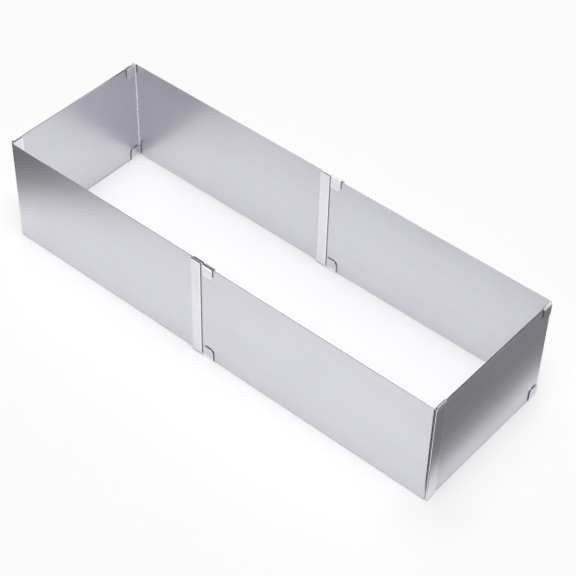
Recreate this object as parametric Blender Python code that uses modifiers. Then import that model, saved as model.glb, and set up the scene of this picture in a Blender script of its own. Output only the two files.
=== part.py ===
"""Adjustable rectangular cake frame.

Four L-shaped corner sheets of thin stainless steel, hooked into each other,
make a bottomless rectangle whose length and width both slide. Going round the
frame as seen from above, each sheet's first leg runs outside its neighbour and
its second leg runs inside the next one. Two of the sheets have their long leg
outside and two have it inside.

Every leg ends the same way. Its free edge is folded back on itself as a flat
hem, a strip that stands proud of the side that the neighbour leaves open. Just
behind that edge a hook at the top and another at the bottom curl over the
neighbour's edges, away from the hem. The hooks hold the legs face to face,
guide them, stop them when they are drawn right out, and are the feet that the
frame stands on.

Metres, +Z up. The origin is under the centre of the frame, on the table.
The frame is at its full length along X and at its least width along Y.
"""

from math import pi

import bmesh
import bpy
from mathutils import Vector

# Sheet metal
SHEET = 0.0004
SHEET_HEIGHT = 0.070
CORNER_RADIUS = 0.0010

# Legs, each from the outside of the frame's corner to its free edge
LONG_OUTER_LEG = 0.1644
LONG_INNER_LEG = 0.1580
SHORT_OUTER_LEG = 0.1020

# Clearance between any two sheets
GAP = 0.0003

# Hem along the free edge of each leg
STRIP_WIDTH = 0.0070
HEM_SLIT = 0.0002
HEM_LAND = 0.0002

# Hooks at the top and bottom of each leg's end
HOOK_WIDTH = 0.0070
HOOK_TAIL = 0.0075
HOOK_ROUND_CORNER = 0.0028
HOOK_EASED_CORNER = 0.0006

# Facets in each bend, in counts
CORNER_FACETS = 8
HEM_FACETS = 8
HOOK_FACETS = 5
HOOK_CORNER_FACETS = 5

SMOOTH_ANGLE = pi / 5
STEEL_COLOUR = (0.72, 0.72, 0.74, 1.0)
STEEL_ROUGHNESS = 0.28

COLLECTION_NAME = "adjustable_cake_frame"


# Sizes that follow from the ones above

PITCH = SHEET + GAP
OUTER_PLANE = SHEET / 2
INNER_PLANE = OUTER_PLANE + PITCH
HOOK_RADIUS = GAP + SHEET / 2
HOOK_CROWN = 2 * (PITCH - HOOK_RADIUS)
HOOK_REACH = HOOK_RADIUS + SHEET / 2
HEM_RADIUS = (SHEET + HEM_SLIT) / 2
HEM_REACH = HEM_RADIUS + SHEET / 2
BEND_RADIUS = CORNER_RADIUS + SHEET / 2

# A hook on an outer leg starts where the corner bend of the wall ahead ends
INNER_SETBACK = HEM_REACH + HEM_LAND
OUTER_SETBACK = max(SHEET + CORNER_RADIUS, INNER_SETBACK)

# Two legs drawn right out stop hook against hook
OUTER_END = max(STRIP_WIDTH, OUTER_SETBACK + HOOK_WIDTH)
INNER_END = max(STRIP_WIDTH, INNER_SETBACK + HOOK_WIDTH)
LEAST_OVERLAP = OUTER_END + GAP + INNER_END

# An inner leg stops where its hem would ride up the corner bend of the wall ahead
WALL_DEPTH = INNER_PLANE + SHEET / 2
CORNER_CLEARANCE = max(GAP, CORNER_RADIUS - HEM_REACH)
SHORT_INNER_LEG = SHORT_OUTER_LEG - WALL_DEPTH - CORNER_CLEARANCE

LENGTH = LONG_OUTER_LEG + LONG_INNER_LEG - LEAST_OVERLAP
WIDTH = SHORT_OUTER_LEG
SHEET_BOTTOM = HOOK_REACH
SHEET_TOP = SHEET_BOTTOM + SHEET_HEIGHT


def draw_out(bm, edge, step):
    """Draw a sheet's free edge straight on and return the new free edge."""
    made = bmesh.ops.extrude_edge_only(bm, edges=[edge])["geom"]
    verts = [item for item in made if isinstance(item, bmesh.types.BMVert)]
    bmesh.ops.translate(bm, verts=verts, vec=step)
    face = next(item for item in made if isinstance(item, bmesh.types.BMFace))
    return next(item for item in face.edges if set(item.verts) == set(verts))


def bend(bm, edge, centre, axis, angle, facets):
    """Bend a sheet's free edge round an axis and return the new free edge."""
    made = bmesh.ops.spin(
        bm, geom=[edge, *edge.verts], cent=centre, axis=axis, angle=angle, steps=facets
    )
    return next(item for item in made["geom_last"] if isinstance(item, bmesh.types.BMEdge))


class Ribbon:
    """A strip of sheet on edge, drawn out and bent station by station."""

    def __init__(self, bm, x, y):
        self.bm = bm
        low = bm.verts.new((x, y, SHEET_BOTTOM))
        high = bm.verts.new((x, y, SHEET_TOP))
        self.edge = bm.edges.new((low, high))

    def run_to(self, x=None, y=None):
        """Draw the sheet straight on and return its new bottom and top edges."""
        last = self.edge.verts[0].co
        step = Vector((0.0 if x is None else x - last.x, 0.0 if y is None else y - last.y, 0.0))
        self.edge = draw_out(self.bm, self.edge, step)
        face = self.edge.link_faces[0]
        level = [edge for edge in face.edges if edge.verts[0].co.z == edge.verts[1].co.z]
        return sorted(level, key=lambda edge: edge.verts[0].co.z)

    def turn(self, x, y, angle, facets):
        """Bend the sheet round an upright axis at x, y."""
        upright = Vector((0.0, 0.0, 1.0))
        self.edge = bend(self.bm, self.edge, Vector((x, y, 0.0)), upright, angle, facets)


def middle(edge):
    return (edge.verts[0].co + edge.verts[1].co) / 2


def curl_hook(bm, edge, side, rounded, upward):
    """Curl a hook out of one level edge of a leg: a bend, a flat crown, a bend and a tail.

    The hook crosses towards side. Of the tail's two corners, the one that lies
    further along rounded is well rounded and the other is only eased.
    """
    lift = Vector((0.0, 0.0, 1.0 if upward else -1.0))
    axis = lift.cross(side)
    first = middle(edge) + side * HOOK_RADIUS
    edge = bend(bm, edge, first, axis, pi / 2, HOOK_FACETS)
    edge = draw_out(bm, edge, side * HOOK_CROWN)
    edge = bend(bm, edge, first + side * HOOK_CROWN, axis, pi / 2, HOOK_FACETS)
    edge = draw_out(bm, edge, -lift * HOOK_TAIL)
    corners = sorted(edge.verts, key=lambda vert: vert.co.dot(rounded))
    for corner, radius in zip(corners, (HOOK_EASED_CORNER, HOOK_ROUND_CORNER)):
        bmesh.ops.bevel(
            bm,
            geom=[corner],
            offset=radius,
            offset_type="OFFSET",
            segments=HOOK_CORNER_FACETS,
            profile=0.5,
            affect="VERTICES",
            material=-1,
        )


def fold_corner_sheet(outer_leg, inner_leg):
    """Fold one corner sheet round the corner at the local origin.

    The outer leg runs along -X with its outer face on the plane y = 0. The
    inner leg runs along +Y, one sheet and one gap inside the plane x = 0.
    """
    bm = bmesh.new()
    x_axis = Vector((1.0, 0.0, 0.0))
    y_axis = Vector((0.0, 1.0, 0.0))

    # Hem of the outer leg, folded back on the outside
    hem_x = -outer_leg + HEM_REACH
    ribbon = Ribbon(bm, -outer_leg + STRIP_WIDTH, OUTER_PLANE - 2 * HEM_RADIUS)
    ribbon.run_to(x=hem_x)
    ribbon.turn(hem_x, OUTER_PLANE - HEM_RADIUS, -pi, HEM_FACETS)

    # Outer leg with the roots of its two hooks
    ribbon.run_to(x=-outer_leg + OUTER_SETBACK)
    outer_roots = ribbon.run_to(x=-outer_leg + OUTER_SETBACK + HOOK_WIDTH)
    bend_x = -INNER_PLANE - BEND_RADIUS
    bend_y = OUTER_PLANE + BEND_RADIUS
    ribbon.run_to(x=bend_x)
    ribbon.turn(bend_x, bend_y, pi / 2, CORNER_FACETS)

    # Inner leg with the roots of its two hooks
    ribbon.run_to(y=inner_leg - INNER_SETBACK - HOOK_WIDTH)
    inner_roots = ribbon.run_to(y=inner_leg - INNER_SETBACK)
    hem_y = inner_leg - HEM_REACH
    ribbon.run_to(y=hem_y)

    # Hem of the inner leg, folded back on the inside
    ribbon.turn(-INNER_PLANE - HEM_RADIUS, hem_y, pi, HEM_FACETS)
    ribbon.run_to(y=inner_leg - STRIP_WIDTH)

    # Hooks: inwards from the outer leg, outwards from the inner leg. The rounded
    # corners of all four look the same way along the sheet, to the long leg's end
    sense = -1.0 if outer_leg > inner_leg else 1.0
    for edge, upward in zip(outer_roots, (False, True)):
        curl_hook(bm, edge, y_axis, x_axis * sense, upward)
    for edge, upward in zip(inner_roots, (False, True)):
        curl_hook(bm, edge, x_axis, y_axis * sense, upward)

    bmesh.ops.recalc_face_normals(bm, faces=bm.faces[:])
    return bm


def steel_material(name):
    """Stainless steel, one material for each corner sheet."""
    material = bpy.data.materials.new(name)
    material.use_nodes = True
    shader = material.node_tree.nodes["Principled BSDF"]
    shader.inputs["Base Color"].default_value = STEEL_COLOUR
    shader.inputs["Metallic"].default_value = 1.0
    shader.inputs["Roughness"].default_value = STEEL_ROUGHNESS
    return material


def add_corner_sheet(collection, name, outer_leg, inner_leg, corner, quarter_turns):
    """Make one corner sheet with its origin at its own corner of the frame."""
    bm = fold_corner_sheet(outer_leg, inner_leg)
    mesh = bpy.data.meshes.new(name)
    bm.to_mesh(mesh)
    bm.free()
    mesh.shade_smooth()
    mesh.set_sharp_from_angle(angle=SMOOTH_ANGLE)
    mesh.materials.append(steel_material(name + "_steel"))

    sheet = bpy.data.objects.new(name, mesh)
    sheet.location = corner
    sheet.rotation_euler = (0.0, 0.0, quarter_turns * pi / 2)
    collection.objects.link(sheet)

    wall = sheet.modifiers.new("Sheet thickness", "SOLIDIFY")
    wall.thickness = SHEET
    wall.offset = 0.0
    wall.use_even_offset = True
    wall.use_quality_normals = True
    flats = sheet.modifiers.new("Flat walls stay flat", "WEIGHTED_NORMAL")
    flats.keep_sharp = True
    return sheet


def build():
    for item in list(bpy.data.objects):
        bpy.data.objects.remove(item, do_unlink=True)

    collection = bpy.data.collections.new(COLLECTION_NAME)
    bpy.context.scene.collection.children.link(collection)

    right = LENGTH / 2
    back = WIDTH / 2
    long_outside = (LONG_OUTER_LEG, SHORT_INNER_LEG)
    long_inside = (SHORT_OUTER_LEG, LONG_INNER_LEG)
    add_corner_sheet(collection, "front_right_corner", *long_outside, (right, -back, 0.0), 0)
    add_corner_sheet(collection, "back_right_corner", *long_inside, (right, back, 0.0), 1)
    add_corner_sheet(collection, "back_left_corner", *long_outside, (-right, back, 0.0), 2)
    add_corner_sheet(collection, "front_left_corner", *long_inside, (-right, -back, 0.0), 3)


build()
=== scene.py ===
"""Finished look of the adjustable cake frame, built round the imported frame.

The four corner sheets are folded again with finer bends and rounded cut edges,
get their stainless steel, and stand on a pale floor under soft studio light.
Metres, +Z up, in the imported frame's own place.
"""

from math import pi, radians
from types import SimpleNamespace
from typing import NamedTuple

import bmesh
import bpy
from bpy.props import FloatProperty, FloatVectorProperty, IntProperty, PointerProperty
from mathutils import Euler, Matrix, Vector


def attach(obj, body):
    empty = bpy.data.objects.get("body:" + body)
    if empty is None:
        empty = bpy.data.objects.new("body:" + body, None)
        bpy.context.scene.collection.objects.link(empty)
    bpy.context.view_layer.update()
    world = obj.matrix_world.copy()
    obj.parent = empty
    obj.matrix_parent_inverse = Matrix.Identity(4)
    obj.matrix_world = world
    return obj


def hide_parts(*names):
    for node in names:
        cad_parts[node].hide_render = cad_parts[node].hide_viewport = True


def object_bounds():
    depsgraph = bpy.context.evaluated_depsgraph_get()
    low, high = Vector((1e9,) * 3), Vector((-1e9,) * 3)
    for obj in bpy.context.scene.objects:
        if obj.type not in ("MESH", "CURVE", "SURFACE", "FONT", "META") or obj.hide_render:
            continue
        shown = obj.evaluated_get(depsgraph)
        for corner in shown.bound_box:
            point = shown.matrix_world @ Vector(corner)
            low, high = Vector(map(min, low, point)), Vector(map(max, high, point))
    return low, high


bl_info = {
    "name": "Adjustable cake frame",
    "version": (1, 0, 0),
    "blender": (4, 5, 0),
    "location": "3D View > Sidebar > Cake frame",
    "description": "Folds the sheets of an adjustable cake frame and lights them",
    "category": "Object",
}

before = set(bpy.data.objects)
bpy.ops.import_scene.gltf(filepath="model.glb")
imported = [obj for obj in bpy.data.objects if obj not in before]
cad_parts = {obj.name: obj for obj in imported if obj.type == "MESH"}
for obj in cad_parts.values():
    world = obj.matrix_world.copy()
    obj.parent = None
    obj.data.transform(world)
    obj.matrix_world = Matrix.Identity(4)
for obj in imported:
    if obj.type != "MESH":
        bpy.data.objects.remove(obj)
CAD_LOW, CAD_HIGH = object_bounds()

X_AXIS = Vector((1.0, 0.0, 0.0))
Y_AXIS = Vector((0.0, 1.0, 0.0))
Z_AXIS = Vector((0.0, 0.0, 1.0))

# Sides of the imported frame
LEFT, FRONT = CAD_LOW.x, CAD_LOW.y
RIGHT, BACK, TOP = CAD_HIGH

# Cut edges: corners sharper than this are rounded, and points of the rounding that lie
# closer together than this share of it are joined
CUT_ANGLE = radians(60.0)
JOINED_SHARE = 0.02

# Vertex attribute, from 0 to 1, of the steel's wear and of the painted light it gets there: a
# painted highlight on hems and hooks and painted shade at the walls' bends. And how much of it a
# hem's fold gets
WEAR_AND_PAINTED_LIGHT = "worn"
HEM_WEAR_AND_PAINTED_HIGHLIGHT = 0.2

# Shift of the steel's patterns on each body, so that no two sheets look alike
PATTERN_SHIFTS = {
    "front_right": (0.0, 0.0, 0.0),
    "back_right": (5.3, 4.1, 2.2),
    "back_left": (3.1, 1.7, 0.9),
    "front_left": (7.9, 6.4, 4.6),
}

# Patterns in the steel: counts per metre on each axis, and their detail in octaves
HAIRLINES = ((45.0, 45.0, 5200.0), 3.0)
STREAKS = ((9.0, 9.0, 420.0), 2.0)
SMEARS = ((24.0, 24.0, 34.0), 4.0)
SPECKS = ((900.0, 900.0, 900.0), 2.0)

# Values of a pattern, and of the wear and painted light, between which it fades in
GRAIN_FADE = (0.30, 0.70)
SMEAR_FADE = (0.46, 0.78)
SPECK_FADE = (0.35, 0.62)
WEAR_AND_PAINTED_LIGHT_FADE = (0.0, 0.6)

# How far each pattern goes in the steel's colour, roughness and relief
SMEAR_COVER = 0.45
# Least share of the rubbing, and of its painted highlight and shade, that the specks leave
LEAST_RUB_AND_PAINTED_LIGHT = 0.45
STREAK_SHADE = 0.022
HAIRLINE_SHADE = 0.035
SMEAR_ROUGHENING = 0.08
STREAK_ROUGHENING = 0.02
RUB_ROUGHENING = -0.06
HAIRLINE_RELIEF = 0.6
GRAIN_HEIGHT = 0.000008

# Sockets of a Mix node that blends two colours
MIX_FACTOR, MIX_FIRST, MIX_SECOND, MIX_RESULT = 0, 6, 7, 2

# Floor and camera
FLOOR_ROUGHNESS = 0.9
SENSOR_WIDTH = 36.0
CLIP_START = 0.01


class LampPlan(NamedTuple):
    """A wide light far off: the side that it comes from, its spread and its level's setting."""

    name: str
    side: tuple
    spread: float
    level: str


class CardPlan(NamedTuple):
    """A card that shows only in the steel, laid from one corner along two sides.

    Its grey is the name of a setting. For each side, fades holds the shares of it
    over which the card fades in at the near end and out at the far end.
    """

    name: str
    grey: str
    corner: tuple
    across: tuple
    up: tuple
    fades: tuple


LAMPS = (
    LampPlan("key_lamp", (0.30, -0.35, 2.0), radians(38.0), "key_level"),
    LampPlan("fill_lamp", (-0.35, 0.40, 1.9), radians(34.0), "fill_level"),
)

# Heights of the cards that lie on the floor and of those that hang over the top edges
FLOOR_CARD = 0.0005
CORNER_CARD = 0.0006
EDGE_CARD = TOP + 0.0186

CARD_UV = "card"
CARDS = (
    CardPlan(
        name="right_card",
        grey="grey_card",
        corner=(RIGHT + 0.0023, FRONT + 0.0017, FLOOR_CARD),
        across=(0.09, 0.0, 0.0),
        up=(0.0, 0.35, 0.0),
        fades=((0.16, 0.3), (0.02, 0.3)),
    ),
    CardPlan(
        name="corner_card",
        grey="dark_card",
        corner=(RIGHT + 0.0008, FRONT - 0.0008, CORNER_CARD),
        across=(0.10, 0.0, 0.0),
        up=(0.0, -0.10, 0.0),
        fades=((0.03, 0.3), (0.03, 0.3)),
    ),
    CardPlan(
        name="left_card",
        grey="grey_card",
        corner=(LEFT - 0.1073, BACK - 0.0387, FLOOR_CARD),
        across=(-0.149, -0.2, 0.0),
        up=(0.32, -0.238, 0.0),
        fades=((0.20, 0.3), (0.15, 0.15)),
    ),
    CardPlan(
        name="side_card",
        grey="grey_card",
        corner=(RIGHT + 0.3463, FRONT - 0.1083, 0.03),
        across=(0.0, 0.64, 0.0),
        up=(0.0, 0.02, 0.75),
        fades=((0.1, 0.1), (0.05, 0.1)),
    ),
    CardPlan(
        name="front_edge_card",
        grey="dark_card",
        corner=(LEFT + 0.0057, FRONT + 0.0077, EDGE_CARD),
        across=(0.283, 0.0, 0.0),
        up=(0.0, 0.016, 0.0),
        fades=((0.05, 0.02), (0.25, 0.25)),
    ),
    CardPlan(
        name="right_edge_card",
        grey="dark_card",
        corner=(RIGHT - 0.0217, FRONT + 0.0117, EDGE_CARD),
        across=(0.016, 0.0, 0.0),
        up=(0.0, 0.105, 0.0),
        fades=((0.25, 0.25), (0.05, 0.05)),
    ),
    CardPlan(
        name="back_corner_card",
        grey="dark_card",
        corner=(LEFT - 0.0263, BACK - 0.0077, EDGE_CARD),
        across=(0.08, 0.0, 0.0),
        up=(0.0, 0.022, 0.0),
        fades=((0.1, 0.3), (0.2, 0.2)),
    ),
    CardPlan(
        name="hook_card",
        grey="dark_card",
        corner=(-0.038, FRONT - 0.0433, EDGE_CARD),
        across=(0.046, 0.0, 0.0),
        up=(0.0, 0.060, 0.0),
        fades=((0.1, 0.12), (0.1, 0.08)),
    ),
)


# Sizes, finish and stage that a user would change


def length(name, description, default):
    return FloatProperty(
        name=name,
        description=description,
        default=default,
        min=0.0,
        precision=5,
        subtype="DISTANCE",
        unit="LENGTH",
    )


def angle(name, description, degrees):
    return FloatProperty(
        name=name,
        description=description,
        default=radians(degrees),
        subtype="ANGLE",
        unit="ROTATION",
    )


def share(name, description, default):
    return FloatProperty(
        name=name,
        description=description,
        default=default,
        min=0.0,
        max=1.0,
        precision=3,
        subtype="FACTOR",
    )


def level(name, description, default):
    return FloatProperty(name=name, description=description, default=default, min=0.0, precision=3)


def colour(name, description, default):
    return FloatVectorProperty(
        name=name,
        description=description,
        default=(*default, 1.0),
        size=4,
        min=0.0,
        max=1.0,
        subtype="COLOR",
    )


def facets(name, description, default):
    return IntProperty(name=name, description=description, default=default, min=1, max=64)


class CakeFrameSheets(bpy.types.PropertyGroup):
    """Sizes of the four folded sheets"""

    thickness: length("Sheet thickness", "Thickness of the steel sheet", 0.0004)
    corner_radius: length("Corner radius", "Inside radius of the upright corner bend", 0.0010)
    long_outer_leg: length("Long outer leg", "Long leg that runs outside its neighbour", 0.1644)
    long_inner_leg: length("Long inner leg", "Long leg that runs inside its neighbour", 0.1580)
    short_outer_leg: length("Short outer leg", "Short leg that runs outside its neighbour", 0.1020)
    gap: length("Gap", "Air between two neighbouring sheets", 0.0003)
    strip_width: length("Hem width", "Width of the folded strip at a free edge", 0.0070)
    hem_slit: length("Hem slit", "Air inside a folded hem", 0.0002)
    hem_land: length("Hem land", "Flat sheet between a hem's fold and the hook", 0.0002)
    hook_width: length("Hook width", "Width of a hook along the edge", 0.0070)
    hook_tail: length("Hook tail", "Length of a hook's flat tail", 0.0075)
    hook_round_corner: length("Round corner", "Radius of the tail's rounded corner", 0.0028)
    hook_eased_corner: length("Eased corner", "Radius of the tail's other corner", 0.0006)
    edge_round: length("Cut edge", "Rounding left by shearing and deburring", 0.00014)
    # Over the shoulder the painted shade of a wall's bend and the painted highlight of a fold fade
    # out
    shoulder: length("Shoulder", "Sheet beside a bend over which its rub marks fade", 0.0012)
    # Along this rim hems and upper hooks get a painted highlight and lower hooks get painted
    # shade, with the rim's polish
    painted_light_rim: length("Painted light rim", "Width of the polished rim along a hem or a hook", 0.0004)
    corner_facets: facets("Corner facets", "Facets in an upright corner bend", 24)
    hem_facets: facets("Hem facets", "Facets in a hem's fold", 24)
    hook_facets: facets("Hook facets", "Facets in each bend of a hook", 12)
    tail_facets: facets("Tail facets", "Facets in each corner of a hook's tail", 12)
    edge_facets: facets("Edge facets", "Facets in the rounding of a cut edge", 3)


class CakeFrameSteel(bpy.types.PropertyGroup):
    """Finish of the stainless steel"""

    wall: colour("Wall", "Rolled steel of the walls", (0.682, 0.680, 0.727))
    folded: colour("Hems and hooks", "Pressed steel of hems and hooks", (0.795, 0.792, 0.826))
    cut: colour("Cut edge", "Bare metal of a sheared edge", (0.600, 0.597, 0.630))
    # Near white: a painted highlight on the bends, crowns and rims of hems and hooks, with the
    # polish that sliding gives them
    rub_and_painted_light_colour: colour("Rubbed", "Hems and hooks that sliding has polished", (0.975, 0.973, 0.990))
    # Painted shade at the walls' upright bends and on the rims of the lower hooks' tails, with the
    # polish of wear
    painted_bend_shade: colour("Painted bend shade", "Walls where a bend has stretched them", (0.667, 0.665, 0.711))
    smear: colour("Smear", "Steel under a faint smear", (0.650, 0.647, 0.697))
    wall_roughness: share("Wall roughness", "Roughness of the rolled walls", 0.30)
    folded_roughness: share("Fold roughness", "Roughness of hems and hooks", 0.20)
    cut_roughness: share("Cut roughness", "Roughness of a sheared edge", 0.24)
    grain_depth: share("Grain depth", "Strength of the rolling grain", 0.30)


class CakeFrameStage(bpy.types.PropertyGroup):
    """Floor, light and camera"""

    floor: colour("Floor", "Pale floor", (0.97, 0.97, 0.97))
    backdrop: colour("Backdrop", "What shows past the floor", (1.0, 1.0, 1.0))
    grey_card: colour("Grey cards", "Grey of the cards round the frame", (0.188, 0.188, 0.195))
    dark_card: colour("Dark cards", "Grey of the cards for edges and bends", (0.03, 0.03, 0.03))
    room_level: level("Room light", "Level of the even light all round", 0.32)
    key_level: level("Key light", "First wide light, in watts per square metre", 1.68)
    fill_level: level("Fill light", "Second wide light, in watts per square metre", 0.46)
    corner_dim: share("Corner dimming", "Light lost where one sheet mirrors another", 0.16)
    floor_size: length("Floor size", "Side of the square floor", 30.0)
    lens: FloatProperty(
        name="Lens", description="Focal length in millimetres", default=105.2, min=1.0
    )
    camera_place: FloatVectorProperty(
        name="Camera place",
        description="Where the camera stands",
        default=(0.4426, -0.5212, 0.6917),
        size=3,
        subtype="TRANSLATION",
        unit="LENGTH",
    )
    camera_heading: angle("Heading", "View's direction, from +X towards +Y", 129.40)
    camera_pitch: angle("Pitch", "Angle of view below the horizon", 44.59)
    camera_roll: angle("Roll", "Tilt of the camera about its line of sight", 1.70)


# Folding the sheets


def folding_plan(sizes):
    """The sizes that follow from the ones a user sets."""
    plan = SimpleNamespace()
    plan.sheet = sizes.thickness
    plan.pitch = plan.sheet + sizes.gap
    plan.outer_plane = plan.sheet / 2
    plan.inner_plane = plan.outer_plane + plan.pitch
    plan.hook_radius = sizes.gap + plan.sheet / 2
    plan.hook_crown = 2 * (plan.pitch - plan.hook_radius)
    plan.hook_reach = plan.hook_radius + plan.sheet / 2
    plan.hem_radius = (plan.sheet + sizes.hem_slit) / 2
    plan.hem_reach = plan.hem_radius + plan.sheet / 2
    plan.bend_radius = sizes.corner_radius + plan.sheet / 2
    plan.inner_setback = plan.hem_reach + sizes.hem_land
    plan.outer_setback = max(plan.sheet + sizes.corner_radius, plan.inner_setback)
    plan.wall_depth = plan.inner_plane + plan.sheet / 2
    plan.corner_clearance = max(sizes.gap, sizes.corner_radius - plan.hem_reach)
    plan.short_inner_leg = sizes.short_outer_leg - plan.wall_depth - plan.corner_clearance
    plan.bottom = CAD_LOW.z + plan.hook_reach
    plan.top = TOP - plan.hook_reach
    plan.right = RIGHT - plan.hook_reach
    plan.back = BACK - plan.hook_reach
    return plan


class FoldedSheet:
    """A strip of steel on edge, drawn out and bent station by station."""

    # Slots of the walls' steel and of the folds' steel
    WALL = 0
    FOLDED = 1

    def __init__(self, x, y, plan):
        self.bm = bmesh.new()
        self.worn = self.bm.verts.layers.float.new(WEAR_AND_PAINTED_LIGHT)
        low = self.bm.verts.new((x, y, plan.bottom))
        high = self.bm.verts.new((x, y, plan.top))
        self.edge = self.bm.edges.new((low, high))
        self.mark([low, high], 1.0)

    def mark(self, verts, worn):
        """Note the steel's wear at some points, and so how much painted light it gets there."""
        for vert in verts:
            vert[self.worn] = worn

    def draw_out(self, edge, step, metal, worn=0.0):
        """Draw a free edge straight on and return the new free edge."""
        made = bmesh.ops.extrude_edge_only(self.bm, edges=[edge])["geom"]
        verts = [item for item in made if isinstance(item, bmesh.types.BMVert)]
        bmesh.ops.translate(self.bm, verts=verts, vec=step)
        self.mark(verts, worn)
        face = next(item for item in made if isinstance(item, bmesh.types.BMFace))
        face.material_index = metal
        return next(item for item in face.edges if set(item.verts) == set(verts))

    def bend(self, edge, centre, axis, through, steps, metal, worn=1.0):
        """Bend a free edge round an axis, through an angle, and return the new free edge."""
        before = set(self.bm.faces)
        start = set(edge.verts)
        made = bmesh.ops.spin(
            self.bm, geom=[edge, *edge.verts], cent=centre, axis=axis, angle=through, steps=steps
        )
        for face in set(self.bm.faces) - before:
            face.material_index = metal
            self.mark(set(face.verts) - start, worn)
        return next(item for item in made["geom_last"] if isinstance(item, bmesh.types.BMEdge))

    def run_to(self, x=None, y=None, metal=WALL, worn=0.0):
        """Draw the strip straight on and return its new bottom and top edges."""
        last = self.edge.verts[0].co
        step = Vector((0.0 if x is None else x - last.x, 0.0 if y is None else y - last.y, 0.0))
        self.edge = self.draw_out(self.edge, step, metal, worn)
        face = self.edge.link_faces[0]
        flat = [edge for edge in face.edges if edge.verts[0].co.z == edge.verts[1].co.z]
        return sorted(flat, key=lambda edge: edge.verts[0].co.z)

    def turn(self, x, y, through, steps, metal=WALL, worn=1.0):
        """Bend the strip through an angle, round an upright axis at x, y."""
        centre = Vector((x, y, 0.0))
        self.edge = self.bend(self.edge, centre, Z_AXIS, through, steps, metal, worn)

    def curl_hook(self, edge, side, rounded, upward, plan, sizes):
        """Curl a hook out of one level edge: a bend, a flat crown, a bend and a tail.

        The tail's corner that lies further along rounded is well rounded. The tails of
        the lower hooks take the walls' darker steel as painted shade, darker towards the bottom
        than the upper tails.
        """
        lift = Z_AXIS if upward else -Z_AXIS
        axis = lift.cross(side)
        first = (edge.verts[0].co + edge.verts[1].co) / 2 + side * plan.hook_radius
        # The hook's bends and crown get a painted highlight, with their polish
        edge = self.bend(edge, first, axis, pi / 2, sizes.hook_facets, self.FOLDED)
        edge = self.draw_out(edge, side * plan.hook_crown, self.FOLDED, 1.0)
        second = first + side * plan.hook_crown
        edge = self.bend(edge, second, axis, pi / 2, sizes.hook_facets, self.FOLDED)
        root = self.draw_out(edge, -lift * sizes.shoulder, self.FOLDED)
        # Painted shade: the lower tails take the darker wall steel
        tail_metal = self.FOLDED if upward else self.WALL
        edge = self.draw_out(root, -lift * (sizes.hook_tail - sizes.shoulder), tail_metal)
        corners = sorted(edge.verts, key=lambda vert: vert.co.dot(rounded))
        for corner, radius in zip(corners, (sizes.hook_eased_corner, sizes.hook_round_corner)):
            bmesh.ops.bevel(
                self.bm,
                geom=[corner],
                offset=radius,
                offset_type="OFFSET",
                segments=sizes.tail_facets,
                profile=0.5,
                affect="VERTICES",
                material=-1,
            )
        self.mark_painted_light_rim(root, lift, sizes.painted_light_rim)

    def mark_painted_light_rim(self, root, lift, width):
        """Mark a rim of the given width round the flat tail below its root, for wear and painted
        light: a painted highlight on folded steel, painted shade on wall steel.
        """
        tail = min(root.link_faces, key=lambda face: face.calc_center_median().dot(lift))
        self.mark(tail.verts, 1.0)
        bmesh.ops.inset_individual(self.bm, faces=[tail], thickness=width, use_even_offset=True)
        self.mark(tail.verts, 0.0)


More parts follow.
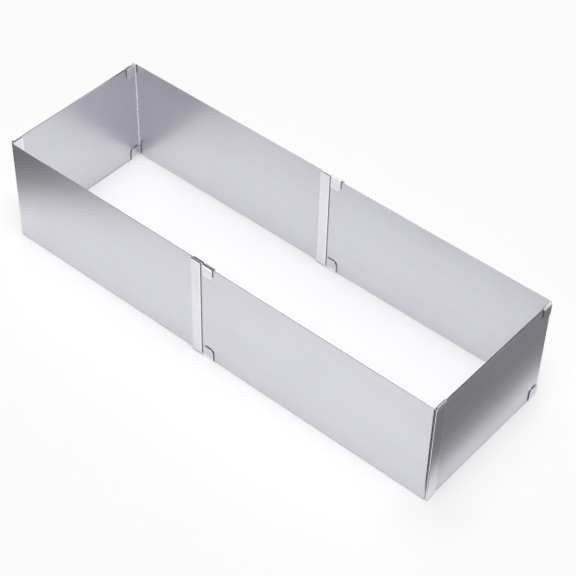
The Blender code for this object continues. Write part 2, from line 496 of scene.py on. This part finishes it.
def fold_sheet(outer_leg, inner_leg, sizes, plan):
    """Fold one sheet round the corner at the local origin.

    The outer leg runs along -X with its outer face on y = 0. The inner leg
    runs along +Y, one sheet and one gap inside x = 0.
    """
    # Hem of the outer leg, folded back on the outside
    rim_x = -outer_leg + sizes.strip_width
    hem_x = -outer_leg + plan.hem_reach
    strip_y = plan.outer_plane - 2 * plan.hem_radius
    # The hem's free edge gets a rim of painted highlight, with its polish
    sheet = FoldedSheet(rim_x, strip_y, plan)
    sheet.run_to(x=rim_x - sizes.painted_light_rim, metal=sheet.FOLDED, worn=1.0)
    sheet.run_to(x=rim_x - 2 * sizes.painted_light_rim, metal=sheet.FOLDED)
    sheet.run_to(x=hem_x + sizes.shoulder, metal=sheet.FOLDED)
    sheet.run_to(x=hem_x, metal=sheet.FOLDED)
    middle_y = plan.outer_plane - plan.hem_radius
    sheet.turn(hem_x, middle_y, -pi, sizes.hem_facets, sheet.FOLDED, HEM_WEAR_AND_PAINTED_HIGHLIGHT)

    # Outer leg with the roots of its two hooks
    root_x = -outer_leg + plan.outer_setback
    sheet.run_to(x=root_x)
    outer_roots = sheet.run_to(x=root_x + sizes.hook_width)
    bend_x = -plan.inner_plane - plan.bend_radius
    bend_y = plan.outer_plane + plan.bend_radius
    # The corner bend and its shoulder get painted shade, with the polish of wear
    sheet.run_to(x=bend_x - sizes.shoulder)
    sheet.run_to(x=bend_x, worn=1.0)
    sheet.turn(bend_x, bend_y, pi / 2, sizes.corner_facets)
    sheet.run_to(y=bend_y + sizes.shoulder)

    # Inner leg with the roots of its two hooks
    root_y = inner_leg - plan.inner_setback - sizes.hook_width
    sheet.run_to(y=root_y)
    inner_roots = sheet.run_to(y=root_y + sizes.hook_width)
    hem_y = inner_leg - plan.hem_reach
    sheet.run_to(y=hem_y)

    # Hem of the inner leg, folded back on the inside
    rim_y = inner_leg - sizes.strip_width
    middle_x = -plan.inner_plane - plan.hem_radius
    sheet.turn(middle_x, hem_y, pi, sizes.hem_facets, sheet.FOLDED, HEM_WEAR_AND_PAINTED_HIGHLIGHT)
    sheet.run_to(y=hem_y - sizes.shoulder, metal=sheet.FOLDED)
    # A rim of painted highlight along the hem's free edge, with its polish
    sheet.run_to(y=rim_y + 2 * sizes.painted_light_rim, metal=sheet.FOLDED)
    sheet.run_to(y=rim_y + sizes.painted_light_rim, metal=sheet.FOLDED, worn=1.0)
    sheet.run_to(y=rim_y, metal=sheet.FOLDED, worn=1.0)

    # Hooks: inwards from the outer leg, outwards from the inner leg. The rounded
    # corners of all four look to the long leg's end
    sense = -1.0 if outer_leg > inner_leg else 1.0
    for roots, side, along in ((outer_roots, Y_AXIS, X_AXIS), (inner_roots, X_AXIS, Y_AXIS)):
        for edge, upward in zip(roots, (False, True)):
            sheet.curl_hook(edge, side, along * sense, upward, plan, sizes)

    bmesh.ops.recalc_face_normals(sheet.bm, faces=sheet.bm.faces[:])
    return sheet.bm


def thicken_sheet(sheet, sizes):
    """Give a folded sheet its thickness, its cut faces' metal and its rounded edges."""
    wall = sheet.modifiers.new("Sheet thickness", "SOLIDIFY")
    wall.thickness = sizes.thickness
    wall.offset = 0.0
    wall.use_even_offset = True
    wall.use_quality_normals = True
    wall.material_offset_rim = len(sheet.data.materials) - 1
    edges = sheet.modifiers.new("Deburred edges", "BEVEL")
    edges.width = sizes.edge_round
    edges.segments = sizes.edge_facets
    edges.limit_method = "ANGLE"
    edges.angle_limit = CUT_ANGLE
    edges.use_clamp_overlap = True
    corners = sheet.modifiers.new("Joined corner points", "WELD")
    corners.merge_threshold = sizes.edge_round * JOINED_SHARE
    flats = sheet.modifiers.new("Flat walls stay flat", "WEIGHTED_NORMAL")
    flats.keep_sharp = True


def add_sheet(context, body, legs, corner, quarter_turns):
    """Stand one folded sheet in its corner and let it ride its body."""
    scene = context.scene
    sizes = scene.cake_frame_sheets
    metals = sheet_metals(scene.cake_frame_steel, body)
    bm = fold_sheet(*legs, sizes, folding_plan(sizes))
    turn = Euler((0.0, 0.0, quarter_turns * pi / 2)).to_matrix()
    bmesh.ops.rotate(bm, verts=bm.verts, matrix=turn)
    bmesh.ops.translate(bm, verts=bm.verts, vec=(*corner, 0.0))

    name = body + "_sheet"
    node = body + "_corner"
    mesh = bpy.data.meshes.new(name)
    bm.to_mesh(mesh)
    bm.free()
    mesh.shade_smooth()
    for metal in metals:
        mesh.materials.append(metal)
    sheet = bpy.data.objects.new(name, mesh)
    scene.collection.objects.link(sheet)
    thicken_sheet(sheet, sizes)

    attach(sheet, body)
    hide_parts(node)


# Nodes


def socket(group, name, kind, output=False, default=None):
    """Give a node group one input or output."""
    made = group.interface.new_socket(
        name=name, in_out="OUTPUT" if output else "INPUT", socket_type="NodeSocket" + kind
    )
    if default is not None:
        made.default_value = default


def node_of(tree, kind, place, **settings):
    """Add a shader node with the given settings."""
    node = tree.nodes.new("ShaderNode" + kind)
    node.location = place
    for key, value in settings.items():
        setattr(node, key, value)
    return node


def feed(tree, value, target):
    """Link a socket into target, or set target to a plain value."""
    if isinstance(value, bpy.types.NodeSocket):
        tree.links.new(value, target)
    else:
        target.default_value = value


def stretched_noise(tree, vector, place, pattern):
    """Noise drawn out along the walls, from a pattern's counts per metre and its detail."""
    counts, detail = pattern
    mapping = node_of(tree, "Mapping", place)
    feed(tree, counts, mapping.inputs["Scale"])
    feed(tree, vector, mapping.inputs["Vector"])
    noise = node_of(tree, "TexNoise", (place[0] + 200, place[1]))
    feed(tree, 1.0, noise.inputs["Scale"])
    feed(tree, detail, noise.inputs["Detail"])
    feed(tree, mapping.outputs["Vector"], noise.inputs["Vector"])
    return noise.outputs["Fac"]


def remap(tree, value, place, fade, result):
    """Lead a value softly from one end of result to the other, across the fade."""
    node = node_of(tree, "MapRange", place, interpolation_type="SMOOTHSTEP")
    feed(tree, value, node.inputs["Value"])
    for name, number in zip(("From Min", "From Max", "To Min", "To Max"), (*fade, *result)):
        feed(tree, number, node.inputs[name])
    return node.outputs["Result"]


def arithmetic(tree, operation, place, *values):
    """One sum or product of sockets and plain numbers."""
    node = node_of(tree, "Math", place, operation=operation)
    for target, value in zip(node.inputs, values):
        feed(tree, value, target)
    return node.outputs["Value"]


def blend_colours(tree, place, factor, first, second):
    """Blend from the first colour to the second."""
    node = node_of(tree, "Mix", place, data_type="RGBA")
    for index, value in ((MIX_FACTOR, factor), (MIX_FIRST, first), (MIX_SECOND, second)):
        feed(tree, value, node.inputs[index])
    return node.outputs[MIX_RESULT]


# Steel


def rolled_steel_group():
    """Grain along the walls, faint smears and rubbing marks, for every steel surface. The rubbing
    marks also carry painted light: their colour paints a highlight on hems and hooks and shade at
    the walls' bends.
    """
    name = "Rolled steel"
    if name in bpy.data.node_groups:
        return bpy.data.node_groups[name]
    group = bpy.data.node_groups.new(name, "ShaderNodeTree")
    socket(group, "Steel", "Color")
    socket(group, "Smear", "Color")
    socket(group, "Rubbed", "Color")
    socket(group, "Base roughness", "Float", default=0.3)
    socket(group, "Grain depth", "Float", default=0.1)
    socket(group, "Sheet shift", "Vector")
    socket(group, "Colour", "Color", output=True)
    socket(group, "Roughness", "Float", output=True)
    socket(group, "Normal", "Vector", output=True)
    source = group.nodes.new("NodeGroupInput")
    source.location = (-1400, 0)
    given = source.outputs
    result = group.nodes.new("NodeGroupOutput")
    result.location = (1200, 0)

    place = node_of(group, "TexCoord", (-1400, -300))
    shifted = node_of(group, "VectorMath", (-1200, -200), operation="ADD")
    feed(group, place.outputs["Object"], shifted.inputs[0])
    feed(group, given["Sheet shift"], shifted.inputs[1])
    vector = shifted.outputs["Vector"]

    hairline = stretched_noise(group, vector, (-1000, 600), HAIRLINES)
    streak = stretched_noise(group, vector, (-1000, 300), STREAKS)
    smear = stretched_noise(group, vector, (-1000, 0), SMEARS)
    speck = stretched_noise(group, vector, (-1000, -300), SPECKS)
    smear_mask = remap(group, smear, (-500, 0), SMEAR_FADE, (0.0, SMEAR_COVER))
    streak_wave = remap(group, streak, (-500, 300), GRAIN_FADE, (-0.5, 0.5))
    hair_wave = remap(group, hairline, (-500, 600), GRAIN_FADE, (-0.5, 0.5))

    # Places of wear, broken up by specks, take the rubbing colour: painted highlight on hems and
    # hooks, painted shade at the walls' bends
    worn = node_of(group, "Attribute", (-700, -600), attribute_name=WEAR_AND_PAINTED_LIGHT)
    broken = remap(group, speck, (-500, -300), SPECK_FADE, (LEAST_RUB_AND_PAINTED_LIGHT, 1.0))
    wear_and_painted_light_level = remap(group, worn.outputs["Fac"], (-500, -600), WEAR_AND_PAINTED_LIGHT_FADE, (0.0, 1.0))
    rub_and_painted_light_mask = arithmetic(group, "MULTIPLY", (-300, -500), wear_and_painted_light_level, broken)

    plain = blend_colours(group, (-100, 300), smear_mask, given["Steel"], given["Smear"])
    rub_and_painted_light_colour = blend_colours(group, (100, 200), rub_and_painted_light_mask, plain, given["Rubbed"])
    bands = arithmetic(group, "MULTIPLY_ADD", (-100, 600), streak_wave, STREAK_SHADE, 1.0)
    fine = arithmetic(group, "MULTIPLY_ADD", (100, 600), hair_wave, HAIRLINE_SHADE, bands)
    shade = node_of(group, "VectorMath", (400, 300), operation="SCALE")
    feed(group, rub_and_painted_light_colour, shade.inputs[0])
    feed(group, fine, shade.inputs["Scale"])
    feed(group, shade.outputs["Vector"], result.inputs["Colour"])

    rough = given["Base roughness"]
    for x, mask, change in (
        (100, smear_mask, SMEAR_ROUGHENING),
        (300, streak_wave, STREAK_ROUGHENING),
        (500, rub_and_painted_light_mask, RUB_ROUGHENING),
    ):
        rough = arithmetic(group, "MULTIPLY_ADD", (x, -100), mask, change, rough)
    feed(group, rough, result.inputs["Roughness"])

    relief = arithmetic(group, "MULTIPLY", (300, -400), hairline, HAIRLINE_RELIEF)
    bump = node_of(group, "Bump", (700, -400))
    feed(group, GRAIN_HEIGHT, bump.inputs["Distance"])
    feed(group, given["Grain depth"], bump.inputs["Strength"])
    feed(group, relief, bump.inputs["Height"])
    feed(group, bump.outputs["Normal"], result.inputs["Normal"])
    return group


def steel(name, shift, base, smear, rub_and_painted_light_colour, roughness, grain_depth):
    """One steel finish, as a material of its own on the shared rolled steel."""
    material = bpy.data.materials.new(name)
    material.use_nodes = True
    material.diffuse_color = base
    material.metallic = 1.0
    tree = material.node_tree
    shader = tree.nodes["Principled BSDF"]
    feed(tree, 1.0, shader.inputs["Metallic"])
    surface = tree.nodes.new("ShaderNodeGroup")
    surface.node_tree = rolled_steel_group()
    surface.location = (-300, 200)
    feed(tree, base, surface.inputs["Steel"])
    feed(tree, smear, surface.inputs["Smear"])
    feed(tree, rub_and_painted_light_colour, surface.inputs["Rubbed"])
    feed(tree, roughness, surface.inputs["Base roughness"])
    feed(tree, grain_depth, surface.inputs["Grain depth"])
    feed(tree, shift, surface.inputs["Sheet shift"])
    feed(tree, surface.outputs["Colour"], shader.inputs["Base Color"])
    feed(tree, surface.outputs["Roughness"], shader.inputs["Roughness"])
    feed(tree, surface.outputs["Normal"], shader.inputs["Normal"])
    return material


def sheet_metals(look, body):
    """The wall, folded and cut finishes of one sheet, in the order of their slots."""
    wall, folded, cut = tuple(look.wall), tuple(look.folded), tuple(look.cut)
    rub_and_painted_light_colour, painted_bend_shade, smear = tuple(look.rub_and_painted_light_colour), tuple(look.painted_bend_shade), tuple(look.smear)
    shift = PATTERN_SHIFTS[body]
    depth = look.grain_depth
    return [
        # Where the steel has wear, the walls get the painted bend shade and hems and hooks the
        # near-white painted highlight
        steel(body + "_rolled_wall", shift, wall, smear, painted_bend_shade, look.wall_roughness, depth),
        steel(body + "_folded_steel", shift, folded, wall, rub_and_painted_light_colour, look.folded_roughness, depth),
        steel(body + "_cut_edge", shift, cut, folded, cut, look.cut_roughness, depth),
    ]


# Stage


def dim_between_sheets(tree, place, loss):
    """A strength of one, less the loss where a sheet shows it by way of another sheet."""
    path = node_of(tree, "LightPath", place)
    depth = path.outputs["Glossy Depth"]
    twice = arithmetic(tree, "GREATER_THAN", (place[0] + 200, place[1]), depth, 1.0)
    return arithmetic(tree, "MULTIPLY_ADD", (place[0] + 400, place[1]), twice, -loss, 1.0)


def lay_floor(scene, stage):
    """Lay the wide pale floor."""
    bm = bmesh.new()
    bmesh.ops.create_grid(bm, x_segments=1, y_segments=1, size=stage.floor_size / 2)
    mesh = bpy.data.meshes.new("floor")
    bm.to_mesh(mesh)
    bm.free()
    floor = bpy.data.objects.new("floor", mesh)
    paint = bpy.data.materials.new("pale_floor")
    paint.use_nodes = True
    tree = paint.node_tree
    shader = tree.nodes["Principled BSDF"]
    pale = node_of(tree, "VectorMath", (-200, 0), operation="SCALE")
    feed(tree, tuple(stage.floor)[:3], pale.inputs[0])
    feed(tree, dim_between_sheets(tree, (-800, 0), stage.corner_dim), pale.inputs["Scale"])
    feed(tree, pale.outputs["Vector"], shader.inputs["Base Color"])
    feed(tree, FLOOR_ROUGHNESS, shader.inputs["Roughness"])
    feed(tree, 0.0, shader.inputs["Specular IOR Level"])
    mesh.materials.append(paint)
    scene.collection.objects.link(floor)


def light_room(scene, stage):
    """Even light all round, and the white backdrop where it is seen or mirrored."""
    world = bpy.data.worlds.new("studio")
    world.use_nodes = True
    tree = world.node_tree
    light = tree.nodes["Background"]
    feed(tree, (1.0, 1.0, 1.0, 1.0), light.inputs["Color"])
    feed(tree, stage.room_level, light.inputs["Strength"])
    shown = node_of(tree, "Background", (0, -200))
    feed(tree, stage.backdrop, shown.inputs["Color"])
    dim = dim_between_sheets(tree, (-600, -200), stage.corner_dim)
    feed(tree, dim, shown.inputs["Strength"])
    ray = node_of(tree, "LightPath", (-400, 300)).outputs
    seen = arithmetic(tree, "MAXIMUM", (-200, 300), ray["Is Camera Ray"], ray["Is Glossy Ray"])
    seen = arithmetic(tree, "MAXIMUM", (0, 300), seen, ray["Is Transmission Ray"])
    mix = node_of(tree, "MixShader", (200, 100))
    feed(tree, seen, mix.inputs["Fac"])
    feed(tree, light.outputs["Background"], mix.inputs[1])
    feed(tree, shown.outputs["Background"], mix.inputs[2])
    feed(tree, mix.outputs["Shader"], tree.nodes["World Output"].inputs["Surface"])
    scene.world = world


def add_lamp(scene, plan, strength):
    """Set up a light that is wide and far off, so that the whole floor gets the same of it."""
    data = bpy.data.lights.new(plan.name, "SUN")
    data.angle = plan.spread
    data.energy = strength
    lamp = bpy.data.objects.new(plan.name, data)
    lamp.location = plan.side
    lamp.rotation_euler = Vector(plan.side).to_track_quat("Z", "Y").to_euler()
    scene.collection.objects.link(lamp)


def card_material(name, grey, fades):
    """An even grey that fades out softly towards each side of its card."""
    material = bpy.data.materials.new(name)
    material.use_nodes = True
    tree = material.node_tree
    tree.nodes.remove(tree.nodes["Principled BSDF"])
    place = node_of(tree, "UVMap", (-900, 0), uv_map=CARD_UV)
    split = node_of(tree, "SeparateXYZ", (-700, 0))
    feed(tree, place.outputs["UV"], split.inputs["Vector"])
    masks = []
    for axis, row, (near, far) in zip(("X", "Y"), (0, -600), fades):
        along = split.outputs[axis]
        rise = remap(tree, along, (-500, row), (0.0, near), (0.0, 1.0))
        fall = remap(tree, along, (-500, row - 300), (1.0 - far, 1.0), (1.0, 0.0))
        masks.append(arithmetic(tree, "MULTIPLY", (-300, row), rise, fall))
    mask = arithmetic(tree, "MULTIPLY", (-100, 0), *masks)
    clear = node_of(tree, "BsdfTransparent", (0, 200))
    shine = node_of(tree, "Emission", (0, -200))
    feed(tree, grey, shine.inputs["Color"])
    mix = node_of(tree, "MixShader", (200, 0))
    feed(tree, mask, mix.inputs["Fac"])
    feed(tree, clear.outputs["BSDF"], mix.inputs[1])
    feed(tree, shine.outputs["Emission"], mix.inputs[2])
    feed(tree, mix.outputs["Shader"], tree.nodes["Material Output"].inputs["Surface"])
    return material


def add_card(scene, plan, grey):
    """Set up a card that shows only in reflections."""
    bm = bmesh.new()
    uv = bm.loops.layers.uv.new(CARD_UV)
    origin, across, up = Vector(plan.corner), Vector(plan.across), Vector(plan.up)
    corners = ((0.0, 0.0), (1.0, 0.0), (1.0, 1.0), (0.0, 1.0))
    verts = [bm.verts.new(origin + across * u + up * v) for u, v in corners]
    face = bm.faces.new(verts)
    for loop, corner in zip(face.loops, corners):
        loop[uv].uv = corner
    mesh = bpy.data.meshes.new(plan.name)
    bm.to_mesh(mesh)
    bm.free()
    mesh.materials.append(card_material(plan.name, grey, plan.fades))
    card = bpy.data.objects.new(plan.name, mesh)
    card.visible_camera = False
    card.visible_diffuse = False
    card.visible_transmission = False
    card.visible_volume_scatter = False
    card.visible_shadow = False
    scene.collection.objects.link(card)


def add_camera(scene, stage):
    """Stand the camera where the photo was taken from."""
    data = bpy.data.cameras.new("camera")
    data.lens = stage.lens
    data.sensor_width = SENSOR_WIDTH
    data.clip_start = CLIP_START
    camera = bpy.data.objects.new("camera", data)
    turn = (
        Euler((0.0, 0.0, stage.camera_heading - pi / 2)).to_matrix()
        @ Euler((pi / 2 - stage.camera_pitch, 0.0, 0.0)).to_matrix()
        @ Euler((0.0, 0.0, stage.camera_roll)).to_matrix()
    )
    camera.location = stage.camera_place
    camera.rotation_euler = turn.to_euler()
    scene.collection.objects.link(camera)
    scene.camera = camera


# Operators and panel


class SheetsLongOutside(bpy.types.Operator):
    """Fold the two sheets whose long leg runs outside its neighbour"""

    bl_idname = "cake_frame.sheets_long_outside"
    bl_label = "Sheets with the long leg outside"
    bl_options = {"REGISTER", "UNDO"}

    def execute(self, context):
        sizes = context.scene.cake_frame_sheets
        plan = folding_plan(sizes)
        legs = (sizes.long_outer_leg, plan.short_inner_leg)
        add_sheet(context, "front_right", legs, (plan.right, -plan.back), 0)
        add_sheet(context, "back_left", legs, (-plan.right, plan.back), 2)
        return {"FINISHED"}


class SheetsLongInside(bpy.types.Operator):
    """Fold the two sheets whose long leg runs inside its neighbour"""

    bl_idname = "cake_frame.sheets_long_inside"
    bl_label = "Sheets with the long leg inside"
    bl_options = {"REGISTER", "UNDO"}

    def execute(self, context):
        sizes = context.scene.cake_frame_sheets
        plan = folding_plan(sizes)
        legs = (sizes.short_outer_leg, sizes.long_inner_leg)
        add_sheet(context, "back_right", legs, (plan.right, plan.back), 1)
        add_sheet(context, "front_left", legs, (-plan.right, -plan.back), 3)
        return {"FINISHED"}


class CakeFrameStudio(bpy.types.Operator):
    """Lay the pale floor and set up soft light and the camera"""

    bl_idname = "cake_frame.studio"
    bl_label = "Studio"
    bl_options = {"REGISTER", "UNDO"}

    def execute(self, context):
        scene = context.scene
        stage = scene.cake_frame_stage
        lay_floor(scene, stage)
        light_room(scene, stage)
        for plan in LAMPS:
            add_lamp(scene, plan, getattr(stage, plan.level))
        for plan in CARDS:
            add_card(scene, plan, getattr(stage, plan.grey))
        add_camera(scene, stage)
        scene.view_settings.view_transform = "Standard"
        return {"FINISHED"}


class CakeFramePanel(bpy.types.Panel):
    """Sizes, finish and stage of the cake frame"""

    bl_idname = "VIEW3D_PT_cake_frame"
    bl_label = "Adjustable cake frame"
    bl_space_type = "VIEW_3D"
    bl_region_type = "UI"
    bl_category = "Cake frame"

    def draw(self, context):
        scene = context.scene
        for settings in (scene.cake_frame_sheets, scene.cake_frame_steel, scene.cake_frame_stage):
            box = self.layout.box()
            for name in settings.bl_rna.properties.keys():
                if name not in {"rna_type", "name"}:
                    box.prop(settings, name)
        for operator in (SheetsLongOutside, SheetsLongInside, CakeFrameStudio):
            self.layout.operator(operator.bl_idname)


CLASSES = (
    CakeFrameSheets,
    CakeFrameSteel,
    CakeFrameStage,
    SheetsLongOutside,
    SheetsLongInside,
    CakeFrameStudio,
    CakeFramePanel,
)


def register():
    for item in CLASSES:
        bpy.utils.register_class(item)
    bpy.types.Scene.cake_frame_sheets = PointerProperty(type=CakeFrameSheets)
    bpy.types.Scene.cake_frame_steel = PointerProperty(type=CakeFrameSteel)
    bpy.types.Scene.cake_frame_stage = PointerProperty(type=CakeFrameStage)


def unregister():
    del bpy.types.Scene.cake_frame_stage
    del bpy.types.Scene.cake_frame_steel
    del bpy.types.Scene.cake_frame_sheets
    for item in reversed(CLASSES):
        bpy.utils.unregister_class(item)


def main():
    register()
    bpy.ops.cake_frame.sheets_long_outside()
    bpy.ops.cake_frame.sheets_long_inside()
    bpy.ops.cake_frame.studio()


if __name__ == "__main__":
    main()
